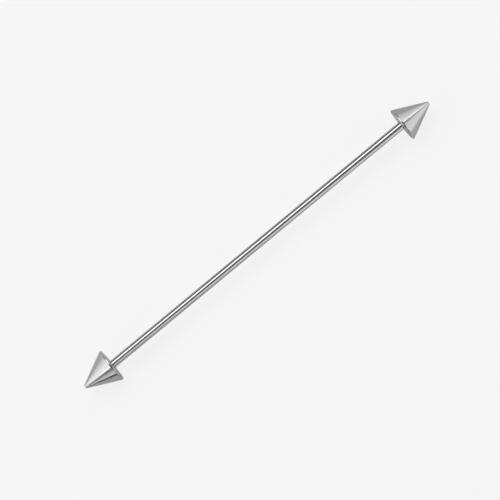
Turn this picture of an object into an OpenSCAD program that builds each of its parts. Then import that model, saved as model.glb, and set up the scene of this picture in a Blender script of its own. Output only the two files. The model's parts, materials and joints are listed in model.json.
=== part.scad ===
// Industrial barbell for an ear: a straight steel bar with a cone screwed onto
// each end, lying on the rims of its cones.
// Millimetres. +X runs along the bar towards the right cone, +Z is up, and the
// origin is on the surface under the middle of the bar.

/* [Bar] */
// Diameter of the bar, 1.2 being 16 gauge
bar_d = 1.2; // [1.2:0.1:1.6]
// Length of the bar that shows between the cones, where it is worn
bar_l = 53.6; // [28:0.2:60]

/* [Cones] */
// Widest diameter of a cone, just above its base
cone_d = 5.2; // [4.6:0.1:6.4]
// Length of a cone from its flat base to its tip
cone_l = 5.1; // [5:0.1:8]
// Radius of the rounded tip
tip_r = 0.38; // [0.2:0.02:0.5]
// Radius of the rounded rim where the flank turns into the base
rim_r = 0.22; // [0.1:0.01:0.4]

/* [Screw ends] */
// Diameter of each plain pin, which stands for the core of a screw thread
pin_d = 0.88; // [0.7:0.02:0.9]
// Length of each pin past the end of the bar's full diameter
pin_l = 2.8; // [2:0.1:3]
// Gap all round a pin, between it and the wall of its cone's hole
pin_gap = 0.08; // [0.03:0.01:0.1]
// Gap between the bar's shoulder and the base of a cone
seat_gap = 0.03; // [0.02:0.01:0.05]
// Depth of the chamfer at a pin's end and at the mouth of a hole
chamfer = 0.06; // [0.02:0.01:0.08]

/* [Finish] */
// Colour of the polished steel
steel = "silver"; // [silver, lightgray, gray]

/* [Hidden] */

// A cone's hole runs past the end of its pin, and ends in a drill's point
end_room = 0.3;
drill_point_angle = 118;
hole_d = pin_d + 2 * pin_gap;
hole_l = pin_l + end_room;

// Straight pieces in each rounded corner of a cone's outline
arc_steps = 12;
$fn = 96;

// The axis of the bar lies as high as the widest circle of the cones
axis_z = cone_d / 2;
// Place of each cone's base along the bar
base_x = bar_l / 2 + seat_gap;

// Points of an arc of radius r about centre, from angle a to angle b
function arc(centre, r, a, b) =
    [for (i = [0 : arc_steps])
        let (angle = a + (b - a) * i / arc_steps)
        centre + r * [cos(angle), sin(angle)]];

// Half outline of the bar, as [radius, place along the bar]
bar_outline = [
    [0, -bar_l / 2 - pin_l],
    [pin_d / 2 - chamfer, -bar_l / 2 - pin_l],
    [pin_d / 2, -bar_l / 2 - pin_l + chamfer],
    [pin_d / 2, -bar_l / 2],
    [bar_d / 2, -bar_l / 2],
    [bar_d / 2, bar_l / 2],
    [pin_d / 2, bar_l / 2],
    [pin_d / 2, bar_l / 2 + pin_l - chamfer],
    [pin_d / 2 - chamfer, bar_l / 2 + pin_l],
    [0, bar_l / 2 + pin_l]
];

// Centres of the two rounded corners in a cone's outline
rim_centre = [cone_d / 2 - rim_r, rim_r];
tip_centre = [0, cone_l - tip_r];

// Angle between a cone's flank and its axis: the flank is the straight line
// that touches both rounded corners
corner_span = tip_centre - rim_centre;
flank_angle = atan2(-corner_span.x, corner_span.y)
    + asin((rim_r - tip_r) / norm(corner_span));

// Half outline of a cone, as [radius, height above its base]
cone_outline = concat(
    [[0, hole_l + hole_d / 2 / tan(drill_point_angle / 2)],
     [hole_d / 2, hole_l],
     [hole_d / 2, chamfer],
     [hole_d / 2 + chamfer, 0]],
    arc(rim_centre, rim_r, -90, flank_angle),
    arc(tip_centre, tip_r, flank_angle, 90)
);

// Lays what stands along +Z down along +X, at the bar's height
module along_bar() {
    translate([0, 0, axis_z])
        rotate([0, 90, 0])
            children();
}

module bar() {
    color(steel)
        along_bar()
            rotate_extrude()
                polygon(bar_outline);
}

module right_cone() {
    color(steel)
        along_bar()
            translate([0, 0, base_x])
                rotate_extrude()
                    polygon(cone_outline);
}

module left_cone() {
    color(steel)
        mirror([1, 0, 0])
            right_cone();
}

bar();
left_cone();
right_cone();
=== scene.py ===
"""Industrial barbell of polished surgical steel, dressed around its packed CAD model.

Everything is in metres, in the CAD model's own frame: +X runs along the bar towards the
right cone, +Z is up, and the origin is on the surface under the middle of the bar.
"""

import json
import math

import bmesh
import bpy
from mathutils import Matrix, Vector


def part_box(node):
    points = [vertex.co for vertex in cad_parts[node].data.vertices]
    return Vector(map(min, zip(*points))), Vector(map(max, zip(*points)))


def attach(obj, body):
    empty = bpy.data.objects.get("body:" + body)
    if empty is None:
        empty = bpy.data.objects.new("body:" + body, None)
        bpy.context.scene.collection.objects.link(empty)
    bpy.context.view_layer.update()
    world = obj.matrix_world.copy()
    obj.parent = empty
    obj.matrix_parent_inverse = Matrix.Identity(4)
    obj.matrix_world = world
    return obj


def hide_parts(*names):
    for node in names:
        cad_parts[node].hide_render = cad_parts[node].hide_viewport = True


bl_info = {
    "name": "Industrial barbell",
    "version": (1, 0, 0),
    "blender": (4, 5, 0),
    "location": "View3D > Sidebar > Barbell",
    "description": "Makes a straight steel barbell with two screw-on cones, and its studio",
    "category": "Object",
}

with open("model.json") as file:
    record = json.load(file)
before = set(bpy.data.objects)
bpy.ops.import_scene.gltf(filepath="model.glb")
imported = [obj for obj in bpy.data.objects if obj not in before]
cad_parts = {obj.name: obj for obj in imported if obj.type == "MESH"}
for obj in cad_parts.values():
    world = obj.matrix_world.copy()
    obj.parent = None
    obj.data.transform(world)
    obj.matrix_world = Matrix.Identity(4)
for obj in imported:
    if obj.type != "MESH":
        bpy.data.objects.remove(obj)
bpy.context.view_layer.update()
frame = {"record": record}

# Sizes that the packed model gives
WORN_LENGTH = frame["record"]["mounts"][0]
AXIS_HEIGHT = WORN_LENGTH["pos_m"][2]
BAR_DIAMETER = 2 * WORN_LENGTH["dims"]["r_mm"] / 1000
BAR_LENGTH = WORN_LENGTH["dims"]["length_mm"] / 1000
PIN_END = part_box("bar")[1].x
CONE_BASE, CONE_TIP = (corner.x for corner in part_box("right_cone"))
STEEL_COLOUR = tuple(frame["record"]["materials"][0]["base_color"])

MM = 0.001


# ---------------------------------------------------------------- properties


def length(name, description, default, largest=0.1):
    """A size in metres that a user may change"""
    return bpy.props.FloatProperty(
        name=name,
        description=description,
        default=default,
        min=0.0,
        max=largest,
        precision=5,
        step=0.001,
        unit="LENGTH",
        subtype="DISTANCE",
    )


def share(name, description, default, largest=1.0):
    """A number from 0 up that a user may change"""
    return bpy.props.FloatProperty(
        name=name,
        description=description,
        default=default,
        min=0.0,
        max=largest,
        subtype="FACTOR" if largest <= 1.0 else "NONE",
    )


def colour(name, description, default):
    """A colour that a user may change"""
    return bpy.props.FloatVectorProperty(
        name=name,
        description=description,
        default=default,
        size=3,
        min=0.0,
        max=1.0,
        subtype="COLOR",
    )


class BarSizes(bpy.types.PropertyGroup):
    """Sizes of the straight bar and the pin at each of its ends"""

    diameter: length("Diameter", "Diameter of the bar", BAR_DIAMETER)
    length: length("Length", "Length of the bar that shows between the cones", BAR_LENGTH)
    edge_radius: length("Edge radius", "Rounding of the edge of each shoulder", 0.03 * MM)
    pin_diameter: length("Pin diameter", "Diameter of the core of each screw end", 0.88 * MM)
    pin_length: length(
        "Pin length",
        "Length of each screw end past the bar's shoulder",
        PIN_END - BAR_LENGTH / 2,
    )
    pin_chamfer: length("Pin chamfer", "Chamfer at the end of each screw end", 0.06 * MM)


class ThreadSizes(bpy.types.PropertyGroup):
    """Sizes of the screw thread on each end of the bar and in each cone"""

    pitch: length("Pitch", "Distance from one turn of the thread to the next", 0.25 * MM)
    crest_diameter: length(
        "Crest diameter",
        "Diameter over the thread, which clears the plain hole in a cone",
        1.024 * MM,
    )
    crest_width: length("Crest width", "Width of the flat top of the thread", 0.035 * MM)
    root_width: length("Root width", "Width of the thread where it meets the core", 0.225 * MM)
    shoulder_gap: length("Shoulder gap", "Bare core next to the bar's shoulder", 0.16 * MM)
    turns: share("Turns", "Number of turns on each end", 9.5, 40.0)
    run_out: share("Run-out", "Part of a turn over which the thread fades out at its ends", 0.6)
    groove_depth: length("Groove depth", "Depth of the thread in a cone's hole", 0.09 * MM)


class ConeSizes(bpy.types.PropertyGroup):
    """Sizes of the two cones"""

    diameter: length("Diameter", "Widest diameter, just above the base", 2 * AXIS_HEIGHT)
    length: length("Length", "Length from the base to the tip", CONE_TIP - CONE_BASE)
    tip_radius: length("Tip radius", "Radius of the rounded tip", 0.38 * MM)
    rim_radius: length("Rim radius", "Radius of the rounded rim", 0.22 * MM)
    hole_diameter: length("Hole diameter", "Diameter of the blind hole in the base", 1.04 * MM)
    hole_length: length("Hole length", "Depth of the hole's straight wall", 3.1 * MM)
    hole_chamfer: length("Hole chamfer", "Chamfer at the mouth of the hole", 0.06 * MM)
    drill_angle: bpy.props.FloatProperty(
        name="Drill angle",
        description="Angle of the drill's point at the bottom of the hole",
        default=math.radians(118),
        min=math.radians(60),
        max=math.radians(175),
        subtype="ANGLE",
    )


class SteelFinish(bpy.types.PropertyGroup):
    """Finish of the polished steel"""

    steel: colour("Steel", "Colour that the polished steel reflects", STEEL_COLOUR)
    roughness: share("Roughness", "Roughness of a clean, polished spot", 0.13)
    smudges: share("Smudges", "Extra roughness where the polish is dull", 0.07)
    line_depth: length("Line depth", "Depth of the fine polishing lines", 0.0003 * MM)
    wave_depth: length("Wave depth", "Depth of the slight waves left by polishing", 0.004 * MM)


class StudioLook(bpy.types.PropertyGroup):
    """Floor, lights and camera"""

    floor: colour("Floor", "Colour of the pale floor and backdrop", (0.93, 0.93, 0.93))
    shading: share(
        "Shading", "Part of the floor's brightness that shadows can darken in the picture", 0.25
    )
    ambient: share("Ambient", "Brightness of the studio between its softboxes", 0.08, 4.0)
    bounce: share(
        "Bounce", "Brightness that the floor adds where the steel reflects it", 0.05, 4.0
    )
    # Painted pools of light: glow added to the paper where the steel reflects it, not light cast
    # by the softboxes
    pools: share(
        "Light pools", "Brightness of the paper in front of the side softboxes", 0.45, 4.0
    )
    light: share("Light", "Brightness of every softbox", 1.0, 4.0)
    camera_height: length("Camera height", "Height of the camera above the bar", 0.49, 10.0)
    view_width: length("View width", "Width of the view at the bar's height", 0.07152, 1.0)
    bar_angle: bpy.props.FloatProperty(
        name="Bar angle",
        description="Angle in the picture from level up to the bar",
        default=math.radians(39.6),
        subtype="ANGLE",
    )
    camera_offset: length(
        "Camera offset", "Distance of the camera from the bar's middle, towards -X", 1.23 * MM
    )
    camera_side: length(
        "Camera side", "Distance of the camera from the bar's middle, towards +Y", 0.08 * MM
    )


PROPERTY_GROUPS = {
    "barbell_bar": BarSizes,
    "barbell_thread": ThreadSizes,
    "barbell_cone": ConeSizes,
    "barbell_steel": SteelFinish,
    "barbell_studio": StudioLook,
}


# --------------------------------------------------------------- node trees


class Number:
    """A number inside a node tree, which can be added, multiplied and so on"""

    def __init__(self, tree, socket):
        self.tree = tree
        self.socket = socket

    def math(self, operation, *others):
        made = self.tree.node("ShaderNodeMath", operation=operation)
        for slot, value in enumerate((self, *others)):
            self.tree.feed(made.inputs[slot], value)
        return Number(self.tree, made.outputs[0])

    def __add__(self, other):
        return self.math("ADD", other)

    def __sub__(self, other):
        return self.math("SUBTRACT", other)

    def __rsub__(self, other):
        return self.tree.number(other).math("SUBTRACT", self)

    def __mul__(self, other):
        return self.math("MULTIPLY", other)

    def __truediv__(self, other):
        return self.math("DIVIDE", other)

    __radd__ = __add__
    __rmul__ = __mul__


class Tree:
    """A node tree being built, with short calls for its nodes"""

    def __init__(self, nodes_of):
        self.tree = nodes_of

    def node(self, kind, inputs=None, **settings):
        made = self.tree.nodes.new(kind)
        for name, value in settings.items():
            setattr(made, name, value)
        for key, value in (inputs or {}).items():
            self.feed(made.inputs[key], value)
        return made

    def feed(self, socket, value):
        if isinstance(value, Number):
            value = value.socket
        if isinstance(value, bpy.types.NodeSocket):
            self.tree.links.new(value, socket)
        else:
            socket.default_value = value

    def number(self, value):
        made = self.node("ShaderNodeValue")
        made.outputs[0].default_value = value
        return Number(self, made.outputs[0])

    def point(self, x, y, z=0.0):
        return self.node("ShaderNodeCombineXYZ", {"X": x, "Y": y, "Z": z}).outputs[0]

    def first_of(self, row, cases, otherwise):
        """The point of the first case whose limit is above the row"""
        chosen = otherwise
        for limit, place in reversed(cases):
            below = row.math("LESS_THAN", limit)
            chosen = self.node(
                "GeometryNodeSwitch",
                {"Switch": below, "False": chosen, "True": place},
                input_type="VECTOR",
            ).outputs[0]
        return chosen


class ShapeTree(Tree):
    """A Geometry Nodes tree for a shape laid out by rule on a grid of rows and columns"""

    def __init__(self, name, sizes, counts):
        super().__init__(bpy.data.node_groups.new(name, "GeometryNodeTree"))
        face = self.tree.interface
        face.new_socket("Geometry", in_out="OUTPUT", socket_type="NodeSocketGeometry")
        for label in sizes:
            socket = face.new_socket(label, in_out="INPUT", socket_type="NodeSocketFloat")
            if label not in PLAIN_NUMBERS:
                socket.subtype = "DISTANCE"
        for label in counts:
            face.new_socket(label, in_out="INPUT", socket_type="NodeSocketInt")
        face.new_socket("Steel", in_out="INPUT", socket_type="NodeSocketMaterial")
        self.given = self.node("NodeGroupInput").outputs

    def size(self, label):
        return Number(self, self.given[label])

    def grid(self, rows, columns):
        """A grid, with the row and the column of each of its points"""
        made = self.node(
            "GeometryNodeMeshGrid",
            {"Vertices X": rows, "Vertices Y": columns},
        )
        index = Number(self, self.node("GeometryNodeInputIndex").outputs[0])
        row = ((index + 0.5) / columns).math("FLOOR")
        column = index - row * columns
        return made.outputs["Mesh"], row, column

    def finish(self, parts, place=None):
        """Welds the parts, gives them their steel and ends the tree"""
        joined = self.node("GeometryNodeJoinGeometry")
        for part in parts:
            self.tree.links.new(part, joined.inputs[0])
        welded = self.node(
            "GeometryNodeMergeByDistance",
            {"Geometry": joined.outputs[0], "Distance": WELD_DISTANCE},
        )
        smooth = self.node("GeometryNodeSetShadeSmooth", {"Geometry": welded.outputs[0]})
        real = self.node("GeometryNodeRealizeInstances", {"Geometry": smooth.outputs[0]})
        steel = self.node(
            "GeometryNodeSetMaterial",
            {"Geometry": real.outputs[0], "Material": self.given["Steel"]},
        )
        self.node("NodeGroupOutput", {"Geometry": steel.outputs[0]})
        return self.tree


# Inputs of the trees that are no lengths
PLAIN_NUMBERS = ("Turns", "Run-out", "Drill angle", "Side")
WELD_DISTANCE = 2e-7
TURN = 2 * math.pi
QUARTER = math.pi / 2
# Edges that turn more than this, in degrees, stay hard
HARD_EDGE = 28


def arc(tree, centre_x, centre_r, radius, angle):
    """A point of a rounded corner, as (place along the axis, distance from it)"""
    return tree.point(
        centre_x + radius * angle.math("SINE"), centre_r + radius * angle.math("COSINE")
    )


def turned_about_axis(tree, outline, angle, side, axis_height):
    """Turns a point of an outline about the bar's axis, towards +X or -X"""
    split = tree.node("ShaderNodeSeparateXYZ", {"Vector": outline})
    along, radius = (Number(tree, split.outputs[slot]) for slot in (0, 1))
    return tree.point(
        side * along,
        side * radius * angle.math("SINE"),
        axis_height - radius * angle.math("COSINE"),
    )


def placed(tree, mesh, position):
    """The mesh with every point moved to its position"""
    return tree.node(
        "GeometryNodeSetPosition", {"Geometry": mesh, "Position": position}
    ).outputs[0]


def cone_tree():
    """A cone with a rounded rim and tip, and a blind tapped hole in its base"""
    tree = ShapeTree(
        "turned_cone",
        (
            "Diameter",
            "Length",
            "Tip radius",
            "Rim radius",
            "Hole diameter",
            "Hole length",
            "Hole chamfer",
            "Drill angle",
            "Pitch",
            "Groove depth",
            "Thread start",
            "Base place",
            "Axis height",
            "Side",
        ),
        ("Segments", "Wall steps", "Corner steps", "Flank steps"),
    )
    radius = tree.size("Diameter") * 0.5
    full_length = tree.size("Length")
    tip_radius, rim_radius = tree.size("Tip radius"), tree.size("Rim radius")
    bore = tree.size("Hole diameter") * 0.5
    depth, chamfer = tree.size("Hole length"), tree.size("Hole chamfer")
    pitch, groove = tree.size("Pitch"), tree.size("Groove depth")
    base_place = tree.size("Base place")
    segments, wall_steps = tree.size("Segments"), tree.size("Wall steps")
    corner_steps, flank_steps = tree.size("Corner steps"), tree.size("Flank steps")

    # Angle between the flank and the axis: the flank touches both rounded corners
    across = radius - rim_radius
    up = full_length - tip_radius - rim_radius
    span = (across * across + up * up).math("SQRT")
    flank_angle = across.math("ARCTAN2", up) + (
        (rim_radius - tip_radius) / span
    ).math("ARCSINE")

    # Rows of the outline, from the bottom of the hole to the tip
    rim_row = wall_steps + 4.0
    flank_row = corner_steps + (rim_row + 1.0)
    tip_row = flank_row + flank_steps
    rows = tip_row + corner_steps + 1.0
    mesh, row, column = tree.grid(rows, segments + 1.0)
    angle = column / segments * TURN

    # The thread in the hole's wall follows the thread on the bar
    wall_place = depth + (row - 1.0) / wall_steps * (chamfer - depth)
    wave = ((wall_place + base_place - tree.size("Thread start")) / pitch * TURN - angle).math(
        "COSINE"
    )
    fade_in = ((wall_place - chamfer) / pitch * 2.0).math("MINIMUM", 1.0)
    fade_out = ((depth - wall_place) / pitch).math("MINIMUM", 1.0)
    wall = tree.point(wall_place, bore + (wave * 0.5 + 0.5) * groove * fade_in * fade_out)

    drill_point = depth + bore / (tree.size("Drill angle") * 0.5).math("TANGENT")
    rim_turn = (row - rim_row) / corner_steps
    rim_angle = rim_turn * (flank_angle + QUARTER) - QUARTER
    tip_turn = (row - tip_row) / corner_steps
    tip_angle = flank_angle + tip_turn * (QUARTER - flank_angle)
    flank_ring = (row - flank_row + 1.0) / (flank_steps + 1.0)
    flank_share = 0.5 - (flank_ring * math.pi).math("COSINE") * 0.5
    rim_end = arc(tree, rim_radius, across, rim_radius, flank_angle)
    tip_start = arc(tree, full_length - tip_radius, 0.0, tip_radius, flank_angle)
    flank = tree.node(
        "ShaderNodeMix",
        {"Factor": flank_share, 4: rim_end, 5: tip_start},
        data_type="VECTOR",
    ).outputs[1]
    outline = tree.first_of(
        row,
        (
            (0.5, tree.point(drill_point, 0.0)),
            (wall_steps + 1.5, wall),
            (wall_steps + 2.5, tree.point(0.0, bore + chamfer)),
            (wall_steps + 3.5, tree.point(0.0, across - rim_radius)),
            (flank_row - 0.5, arc(tree, rim_radius, across, rim_radius, rim_angle)),
            (tip_row - 0.5, flank),
        ),
        arc(tree, full_length - tip_radius, 0.0, tip_radius, tip_angle),
    )
    moved = tree.node(
        "ShaderNodeVectorMath",
        {0: outline, 1: tree.point(base_place, 0.0)},
        operation="ADD",
    ).outputs[0]
    position = turned_about_axis(
        tree, moved, angle, tree.size("Side"), tree.size("Axis height")
    )
    return tree.finish([placed(tree, mesh, position)])


def bar_tree():
    """A straight round bar with a thinner pin at each end"""
    tree = ShapeTree(
        "turned_bar",
        (
            "Diameter",
            "Length",
            "Edge radius",
            "Pin diameter",
            "Pin length",
            "Pin chamfer",
            "Axis height",
        ),
        ("Segments", "Corner steps", "Length steps"),
    )
    radius, half = tree.size("Diameter") * 0.5, tree.size("Length") * 0.5
    edge = tree.size("Edge radius")
    pin_radius, chamfer = tree.size("Pin diameter") * 0.5, tree.size("Pin chamfer")
    pin_end = half + tree.size("Pin length")
    segments = tree.size("Segments")
    corner_steps, length_steps = tree.size("Corner steps"), tree.size("Length steps")

    # Rows from one pin's end to the bar's middle, and the same again to the other
    edge_row = 4.0
    body_row = corner_steps + (edge_row + 1.0)
    half_rows = body_row + length_steps
    mesh, row, column = tree.grid(half_rows * 2.0, segments + 1.0)
    mirrored = half_rows * 2.0 - 1.0 - row
    step = row.math("MINIMUM", mirrored)
    side = (mirrored - row).math("SIGN")

    edge_angle = (step - edge_row) / corner_steps * QUARTER
    edge_turn = QUARTER - edge_angle
    body_share = (step - body_row + 1.0) / length_steps
    # Rows are close together near the shoulders and wide apart in the middle
    spacing = body_share.math("POWER", 3.0)
    outline = tree.first_of(
        step,
        (
            (0.5, tree.point(pin_end, 0.0)),
            (1.5, tree.point(pin_end, pin_radius - chamfer)),
            (2.5, tree.point(pin_end - chamfer, pin_radius)),
            (3.5, tree.point(half, pin_radius)),
            (body_row - 0.5, arc(tree, half - edge, radius - edge, edge, edge_turn)),
        ),
        tree.point((half - edge) * (1.0 - spacing * MIDDLE_GAP), radius),
    )
    split = tree.node("ShaderNodeSeparateXYZ", {"Vector": outline})
    along, out = (Number(tree, split.outputs[slot]) for slot in (0, 1))
    position = turned_about_axis(
        tree,
        tree.point(along * side, out),
        column / segments * TURN,
        tree.number(1.0),
        tree.size("Axis height"),
    )
    return tree.finish([placed(tree, mesh, position)])


# The rows nearest to the bar's middle stop just short of it
MIDDLE_GAP = 0.98


def thread_tree():
    """A right-hand screw thread on each end of the bar"""
    tree = ShapeTree(
        "screw_thread",
        (
            "Pitch",
            "Core diameter",
            "Crest diameter",
            "Crest width",
            "Root width",
            "Start place",
            "Turns",
            "Run-out",
            "Axis height",
        ),
        ("Steps in a turn",),
    )
    pitch, turns = tree.size("Pitch"), tree.size("Turns")
    crest = tree.size("Crest diameter") * 0.5
    root = tree.size("Core diameter") * 0.5 - ROOT_SINK
    steps = (turns * tree.size("Steps in a turn")).math("ROUND")
    mesh, row, column = tree.grid(steps + 1.0, 5)

    done = row / steps * turns
    left = turns - done
    fade = (done.math("MINIMUM", left) / tree.size("Run-out")).math("MINIMUM", 1.0)
    # Columns run round the thread's section: root, crest, crest, root and back
    on_crest = ((column - 0.5) * (2.5 - column)).math("GREATER_THAN", 0.0)
    far_side = ((column - 1.5) * (3.5 - column)).math("GREATER_THAN", 0.0)
    half_width = (
        tree.size("Root width") + on_crest * (tree.size("Crest width") - tree.size("Root width"))
    ) * 0.5
    offset = half_width * (far_side * 2.0 - 1.0) * fade
    radius = root + on_crest * (crest - root) * fade
    along = tree.size("Start place") + done * pitch + offset
    angle = done * TURN
    outline = tree.point(along, radius)
    parts = [
        placed(
            tree,
            mesh,
            turned_about_axis(tree, outline, angle, tree.number(side), tree.size("Axis height")),
        )
        for side in (1.0, -1.0)
    ]
    return tree.finish(parts)


# The thread's root lies this far inside the core, so that no gap shows
ROOT_SINK = 0.01 * MM


def baked(name, tree, values):
    """An object with the plain mesh that the tree makes from these values"""
    piece = bpy.data.objects.new(name, bpy.data.meshes.new(name + "_start"))
    bpy.context.scene.collection.objects.link(piece)
    modifier = piece.modifiers.new("shape", "NODES")
    modifier.node_group = tree
    for item in tree.interface.items_tree:
        if item.item_type == "SOCKET" and item.in_out == "INPUT":
            modifier[item.identifier] = values[item.name]
    ready = bpy.context.evaluated_depsgraph_get()
    mesh = bpy.data.meshes.new_from_object(piece.evaluated_get(ready))
    mesh.name = name
    piece.modifiers.remove(modifier)
    piece.data = mesh
    close_mesh(mesh)
    return piece


def close_mesh(mesh):
    """Welds the seams and poles, points every face outwards and keeps hard edges hard"""
    work = bmesh.new()
    work.from_mesh(mesh)
    bmesh.ops.remove_doubles(work, verts=work.verts, dist=WELD_DISTANCE)
    bmesh.ops.dissolve_degenerate(work, edges=work.edges, dist=WELD_DISTANCE)
    bmesh.ops.recalc_face_normals(work, faces=work.faces)
    open_edges = [edge for edge in work.edges if not edge.is_manifold]
    work.to_mesh(mesh)
    work.free()
    if open_edges:
        raise RuntimeError(f"{mesh.name} has {len(open_edges)} open edges")
    mesh.set_sharp_from_angle(angle=math.radians(HARD_EDGE))


# ----------------------------------------------------------------- materials


def noise(tree, coordinates, scale, detail=2.0, turn=(0.0, 0.0, 0.0)):
    """Noise with features of 1 / scale metres along each axis"""
    mapping = tree.node(
        "ShaderNodeMapping", {"Vector": coordinates, "Rotation": turn, "Scale": scale}
    )
    made = tree.node(
        "ShaderNodeTexNoise",
        {"Vector": mapping.outputs[0], "Scale": 1.0, "Detail": detail, "Roughness": 0.55},
    )
    return Number(tree, made.outputs["Fac"])


def ranged(tree, value, low, high, to_low, to_high):
    """The value, taken from one range to another and held inside it"""
    made = tree.node(
        "ShaderNodeMapRange",
        {"Value": value, 1: low, 2: high, 3: to_low, 4: to_high},
    )
    return Number(tree, made.outputs[0])


def polished_steel(name, finish, scuff_turn):
    """Polished steel with fine lines around the piece, dull spots and hairline scuffs"""
    material = bpy.data.materials.new(name)
    material.use_nodes = True
    material.node_tree.nodes.clear()
    tree = Tree(material.node_tree)
    place = tree.node("ShaderNodeTexCoord").outputs["Object"]

    lines = noise(tree, place, LINE_SCALE, 3.0)
    waves = noise(tree, place, WAVE_SCALE, 1.0)
    dull = noise(tree, place, DULL_SCALE, 4.0)
    scuff_noise = noise(tree, place, SCUFF_SCALE, 2.0, scuff_turn)
    # A scuff is where its noise passes through a narrow band
    off_middle = (scuff_noise - 0.5).math("ABSOLUTE")
    scuffs = ranged(tree, off_middle, 0.0, SCUFF_WIDTH, 1.0, 0.0)
    scuffs = scuffs * ranged(tree, dull, 0.5, 0.7, 0.0, 1.0)

    dullness = ranged(tree, dull, 0.42, 0.72, 0.0, 1.0)
    roughness = dullness * finish.smudges + scuffs * SCUFF_ROUGHNESS + lines * LINE_ROUGHNESS
    roughness = roughness + (finish.roughness - LINE_ROUGHNESS / 2)
    steel = Vector(finish.steel)
    shades = tree.node(
        "ShaderNodeMix",
        {
            "Factor": dullness,
            6: (*(steel * CLEAN_SHADE), 1.0),
            7: (*(steel * DULL_SHADE), 1.0),
        },
        data_type="RGBA",
    )
    wavy = tree.node(
        "ShaderNodeBump", {"Height": waves, "Strength": 1.0, "Distance": finish.wave_depth}
    )
    lined = tree.node(
        "ShaderNodeBump",
        {
            "Height": lines - scuffs * 0.5,
            "Strength": 1.0,
            "Distance": finish.line_depth,
            "Normal": wavy.outputs[0],
        },
    )
    shader = tree.node(
        "ShaderNodeBsdfPrincipled",
        {
            "Base Color": shades.outputs[2],
            "Metallic": 1.0,
            "Roughness": roughness,
            "Normal": lined.outputs[0],
        },
    )
    tree.node("ShaderNodeOutputMaterial", {"Surface": shader.outputs[0]})
    return material


# Features in a metre of each noise, along the bar and across it both ways
LINE_SCALE = (22000.0, 180.0, 180.0)
WAVE_SCALE = (150.0, 900.0, 900.0)
DULL_SCALE = (700.0, 900.0, 900.0)
SCUFF_SCALE = (260.0, 9000.0, 420.0)
# Width of a scuff, as a share of its noise's range
SCUFF_WIDTH = 0.012
# Roughness that a scuff and the polishing lines add
SCUFF_ROUGHNESS = 0.12
LINE_ROUGHNESS = 0.03
# Shades of the steel where it is clean and where it is dull
CLEAN_SHADE = 1.02
DULL_SHADE = 0.94
# Slants of the hairline scuffs, in radians
BAR_SCUFF_TURN = (0.0, 0.5, 0.9)
CONE_SCUFF_TURN = (0.4, -0.6, 0.7)


# --------------------------------------------------------------------- stage

# The columns of each softbox: azimuth from +X and elevation of its middle, and its roll, in
# degrees; its distance in metres; half its width and half its height in degrees; and its
# brightness at even steps across its width, in the direction in which the azimuth grows.
# The dark card, low down on the left, is what the left cone's dark streak reflects.
SOFTBOXES = {
    "key_strip": (90, 55.3, 0, 0.50, 24, 16, (1.95, 1.95)),
    "fill_panel": (270, 37, 0, 0.50, 14, 33, (0.44, 0.46, 0.49, 0.42, 0.3, 0.3)),
    "fill_strip": (270, 36, -72, 0.47, 29, 4, (0.8, 1.05, 1.8)),
    "left_wing": (158, 21, 0, 0.50, 28, 21, (0.75, 1.0, 1.25, 1.3, 1.7)),
    "left_back": (115, 20, 0, 0.50, 14, 20, (0.5, 0.7)),
    "right_back": (64, 20, 0, 0.50, 13, 20, (0.5, 0.45)),
    "right_wing": (30, 21, 0, 0.50, 21, 21, (1.8, 1.05, 0.85, 0.72, 0.5)),
    "right_front": (329, 20, 0, 0.50, 24.5, 20, (0.85, 0.97, 0.92, 0.85)),
    "left_front": (208.5, 26, 0, 0.50, 17.5, 17, (0.12, 0.35, 0.75, 0.85)),
    "dark_card": (222, 1.5, 0, 0.14, 8, 3.2, (0.02, 0.02)),
}
# Cells across a softbox, and the height of an edge that would be under the floor
SOFTBOX_CELLS = 24
LOWEST_EDGE = 0.001


def glow_material(name, light):
    """A softbox's cloth, as bright as its glow attribute says"""
    material = bpy.data.materials.new(name)
    material.use_nodes = True
    material.node_tree.nodes.clear()
    tree = Tree(material.node_tree)
    glow = tree.node("ShaderNodeAttribute", attribute_name="glow").outputs["Fac"]
    shader = tree.node(
        "ShaderNodeEmission",
        {"Color": (1.0, 1.0, 1.0, 1.0), "Strength": Number(tree, glow) * light},
    )
    tree.node("ShaderNodeOutputMaterial", {"Surface": shader.outputs[0]})
    return material


def between(values, place):
    """The value at a place from 0 to 1 along evenly spaced values"""
    spot = place * (len(values) - 1)
    step = min(int(spot), len(values) - 2)
    return values[step] + (values[step + 1] - values[step]) * (spot - step)


def softbox(name, material, azimuth, elevation, roll, distance, half_width, half_height, glow):
    """A flat softbox that faces the barbell and stays out of the camera's sight"""
    turned = Matrix.Rotation(math.radians(roll), 2)
    azimuth, elevation = math.radians(azimuth), math.radians(elevation)
    outwards = Vector(
        (
            math.cos(elevation) * math.cos(azimuth),
            math.cos(elevation) * math.sin(azimuth),
            math.sin(elevation),
        )
    )
    across = Vector((-math.sin(azimuth), math.cos(azimuth), 0.0))
    up = outwards.cross(across)
    across, up = (across * row[0] + up * row[1] for row in turned.transposed())
    middle = Vector((0.0, 0.0, AXIS_HEIGHT)) + outwards * distance
    wide = distance * math.tan(math.radians(half_width))
    high = distance * math.tan(math.radians(half_height))
    points, levels = [], []
    for column in range(SOFTBOX_CELLS + 1):
        share_across = column / SOFTBOX_CELLS
        for height in (-high, high):
            spot = middle + across * wide * (2 * share_across - 1) + up * height
            points.append((spot.x, spot.y, max(spot.z, LOWEST_EDGE)))
            levels.append(between(glow, share_across))
    faces = [(2 * i, 2 * i + 1, 2 * i + 3, 2 * i + 2) for i in range(SOFTBOX_CELLS)]
    mesh = bpy.data.meshes.new(name)
    mesh.from_pydata(points, [], faces)
    mesh.attributes.new("glow", "FLOAT", "POINT").data.foreach_set("value", levels)
    mesh.materials.append(material)
    box = bpy.data.objects.new(name, mesh)
    bpy.context.scene.collection.objects.link(box)
    box.visible_camera = False
    box.visible_shadow = False


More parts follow.
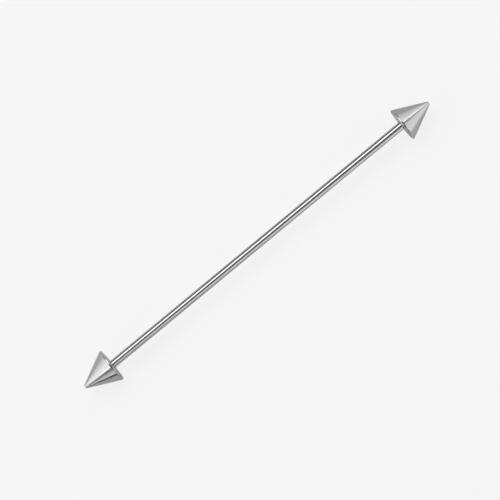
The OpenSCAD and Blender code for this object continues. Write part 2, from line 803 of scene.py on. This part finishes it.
def floor_material(studio):
    """Pale paper, which the camera sees evenly bright and the steel sees as it is lit, with
    painted pools of light added
    """
    material = bpy.data.materials.new("pale_paper")
    material.use_nodes = True
    material.node_tree.nodes.clear()
    tree = Tree(material.node_tree)
    seen = Number(tree, tree.node("ShaderNodeLightPath").outputs["Is Camera Ray"])
    place = tree.node("ShaderNodeTexCoord").outputs["Object"]
    # Painted pools of light: extra glow on the paper near these middles, seen only by the steel's
    # reflections
    pools = tree.number(0.0)
    for middle in PAINTED_LIGHT_POOLS:
        distance = tree.node("ShaderNodeVectorMath", {0: place, 1: middle}, operation="DISTANCE")
        away = Number(tree, distance.outputs["Value"])
        pools = pools + ranged(tree, away, 0.0, PAINTED_POOL_RADIUS, studio.pools, 0.0)
    # Together with the faint shading, this gives the camera the floor's own colour
    full = 1.0 - studio.shading * PAPER_LEVEL / studio.floor[0]
    glow = pools + studio.bounce
    glow = glow + seen * (full - glow)
    even = tree.node("ShaderNodeEmission", {"Color": (*studio.floor, 1.0), "Strength": glow})
    lit = seen * (studio.shading - PAPER_WHITE) + PAPER_WHITE
    shaded = tree.node("ShaderNodeBsdfDiffuse", {"Color": tree.point(lit, lit, lit)})
    both = tree.node("ShaderNodeAddShader", {0: even.outputs[0], 1: shaded.outputs[0]})
    tree.node("ShaderNodeOutputMaterial", {"Surface": both.outputs[0]})
    return material


# Middles and radius of the painted pools of light on the paper in front of the side softboxes,
# which only the steel's reflections see
PAINTED_LIGHT_POOLS = ((-0.09, 0.11, 0.0), (0.09, -0.11, 0.0))
PAINTED_POOL_RADIUS = 0.14
# Brightness that the softboxes' light gives to a white floor
PAPER_LEVEL = 0.59
# Share of the light that the paper sends back
PAPER_WHITE = 0.7
FLOOR_HALF_WIDTH = 2.0
# Width of the camera's sensor, in millimetres
SENSOR_WIDTH = 36.0


class BARBELL_OT_stage(bpy.types.Operator):
    """Make the camera, the pale floor, the backdrop and the softboxes"""

    bl_idname = "barbell.stage"
    bl_label = "Make stage"

    def execute(self, context):
        studio = context.scene.barbell_studio
        camera_data = bpy.data.cameras.new("camera")
        camera_data.sensor_width = SENSOR_WIDTH
        camera_data.lens = SENSOR_WIDTH * studio.camera_height / studio.view_width
        camera_data.clip_start = 0.01
        camera_data.clip_end = 20.0
        camera = bpy.data.objects.new("camera", camera_data)
        context.scene.collection.objects.link(camera)
        camera.location = (
            -studio.camera_offset,
            studio.camera_side,
            AXIS_HEIGHT + studio.camera_height,
        )
        camera.rotation_euler = (0.0, 0.0, -studio.bar_angle)
        context.scene.camera = camera

        world = bpy.data.worlds.new("studio")
        world.use_nodes = True
        world.node_tree.nodes.clear()
        tree = Tree(world.node_tree)
        camera_ray = tree.node("ShaderNodeLightPath").outputs["Is Camera Ray"]
        dim = tree.node(
            "ShaderNodeBackground",
            {"Color": (1.0, 1.0, 1.0, 1.0), "Strength": studio.ambient},
        )
        pale = tree.node("ShaderNodeBackground", {"Color": (*studio.floor, 1.0), "Strength": 1.0})
        both = tree.node(
            "ShaderNodeMixShader", {0: camera_ray, 1: dim.outputs[0], 2: pale.outputs[0]}
        )
        tree.node("ShaderNodeOutputWorld", {"Surface": both.outputs[0]})
        context.scene.world = world
        context.scene.view_settings.view_transform = "Standard"

        reach = FLOOR_HALF_WIDTH
        mesh = bpy.data.meshes.new("floor")
        mesh.from_pydata(
            [(-reach, -reach, 0), (reach, -reach, 0), (reach, reach, 0), (-reach, reach, 0)],
            [],
            [(0, 1, 2, 3)],
        )
        mesh.materials.append(floor_material(studio))
        floor = bpy.data.objects.new("floor", mesh)
        context.scene.collection.objects.link(floor)

        glow = glow_material("softbox_cloth", studio.light)
        for name, values in SOFTBOXES.items():
            softbox(name, glow, *values)
        return {"FINISHED"}


# -------------------------------------------------------------------- pieces

# Straight steps around each piece and along the parts of its outline
BAR_STEPS = {"Segments": 128, "Corner steps": 6, "Length steps": 8}
CONE_STEPS = {"Segments": 160, "Wall steps": 120, "Corner steps": 14, "Flank steps": 9}
THREAD_STEPS = 64


class BARBELL_OT_bar(bpy.types.Operator):
    """Make the straight polished bar"""

    bl_idname = "barbell.bar"
    bl_label = "Make bar"

    def execute(self, context):
        sizes = context.scene.barbell_bar
        steel = polished_steel("bar_steel", context.scene.barbell_steel, BAR_SCUFF_TURN)
        bar = baked(
            "polished_bar",
            bar_tree(),
            {
                "Diameter": sizes.diameter,
                "Length": sizes.length,
                "Edge radius": sizes.edge_radius,
                "Pin diameter": sizes.pin_diameter,
                "Pin length": sizes.pin_length,
                "Pin chamfer": sizes.pin_chamfer,
                "Axis height": AXIS_HEIGHT,
                **BAR_STEPS,
                "Steel": steel,
            },
        )
        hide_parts("bar")
        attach(bar, "bar")
        return {"FINISHED"}


def thread_start(scene):
    """Place along the bar where the thread begins"""
    return scene.barbell_bar.length / 2 + scene.barbell_thread.shoulder_gap


class BARBELL_OT_threads(bpy.types.Operator):
    """Make the screw thread on each end of the bar"""

    bl_idname = "barbell.threads"
    bl_label = "Make threads"

    def execute(self, context):
        sizes = context.scene.barbell_thread
        bar = context.scene.barbell_bar
        threads = baked(
            "screw_threads",
            thread_tree(),
            {
                "Pitch": sizes.pitch,
                "Core diameter": bar.pin_diameter,
                "Crest diameter": sizes.crest_diameter,
                "Crest width": sizes.crest_width,
                "Root width": sizes.root_width,
                "Start place": thread_start(context.scene),
                "Turns": sizes.turns,
                "Run-out": sizes.run_out,
                "Axis height": AXIS_HEIGHT,
                "Steps in a turn": THREAD_STEPS,
                "Steel": bpy.data.materials["bar_steel"],
            },
        )
        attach(threads, "bar")
        return {"FINISHED"}


class BARBELL_OT_cones(bpy.types.Operator):
    """Make the two screw-on cones"""

    bl_idname = "barbell.cones"
    bl_label = "Make cones"

    def execute(self, context):
        sizes = context.scene.barbell_cone
        thread = context.scene.barbell_thread
        steel = polished_steel("cone_steel", context.scene.barbell_steel, CONE_SCUFF_TURN)
        tree = cone_tree()
        for body, side in (("left_cone", -1.0), ("right_cone", 1.0)):
            cone = baked(
                "polished_" + body,
                tree,
                {
                    "Diameter": sizes.diameter,
                    "Length": sizes.length,
                    "Tip radius": sizes.tip_radius,
                    "Rim radius": sizes.rim_radius,
                    "Hole diameter": sizes.hole_diameter,
                    "Hole length": sizes.hole_length,
                    "Hole chamfer": sizes.hole_chamfer,
                    "Drill angle": sizes.drill_angle,
                    "Pitch": thread.pitch,
                    "Groove depth": thread.groove_depth,
                    "Thread start": thread_start(context.scene),
                    "Base place": CONE_BASE,
                    "Axis height": AXIS_HEIGHT,
                    "Side": side,
                    **CONE_STEPS,
                    "Steel": steel,
                },
            )
            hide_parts(body)
            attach(cone, body)
        return {"FINISHED"}


class BARBELL_PT_panel(bpy.types.Panel):
    """Sizes, finishes and buttons of the barbell"""

    bl_idname = "BARBELL_PT_panel"
    bl_label = "Industrial barbell"
    bl_space_type = "VIEW_3D"
    bl_region_type = "UI"
    bl_category = "Barbell"

    def draw(self, context):
        for group, settings in PROPERTY_GROUPS.items():
            box = self.layout.box()
            box.label(text=settings.__doc__)
            for name in settings.__annotations__:
                box.prop(getattr(context.scene, group), name)
        for operator in OPERATORS:
            self.layout.operator(operator.bl_idname)


OPERATORS = (BARBELL_OT_stage, BARBELL_OT_bar, BARBELL_OT_threads, BARBELL_OT_cones)
CLASSES = (*PROPERTY_GROUPS.values(), *OPERATORS, BARBELL_PT_panel)


def register():
    for cls in CLASSES:
        bpy.utils.register_class(cls)
    for name, group in PROPERTY_GROUPS.items():
        setattr(bpy.types.Scene, name, bpy.props.PointerProperty(type=group))


def unregister():
    for name in PROPERTY_GROUPS:
        delattr(bpy.types.Scene, name)
    for cls in reversed(CLASSES):
        bpy.utils.unregister_class(cls)


def main():
    register()
    bpy.ops.barbell.stage()
    bpy.ops.barbell.bar()
    bpy.ops.barbell.threads()
    bpy.ops.barbell.cones()


if __name__ == "__main__":
    main()
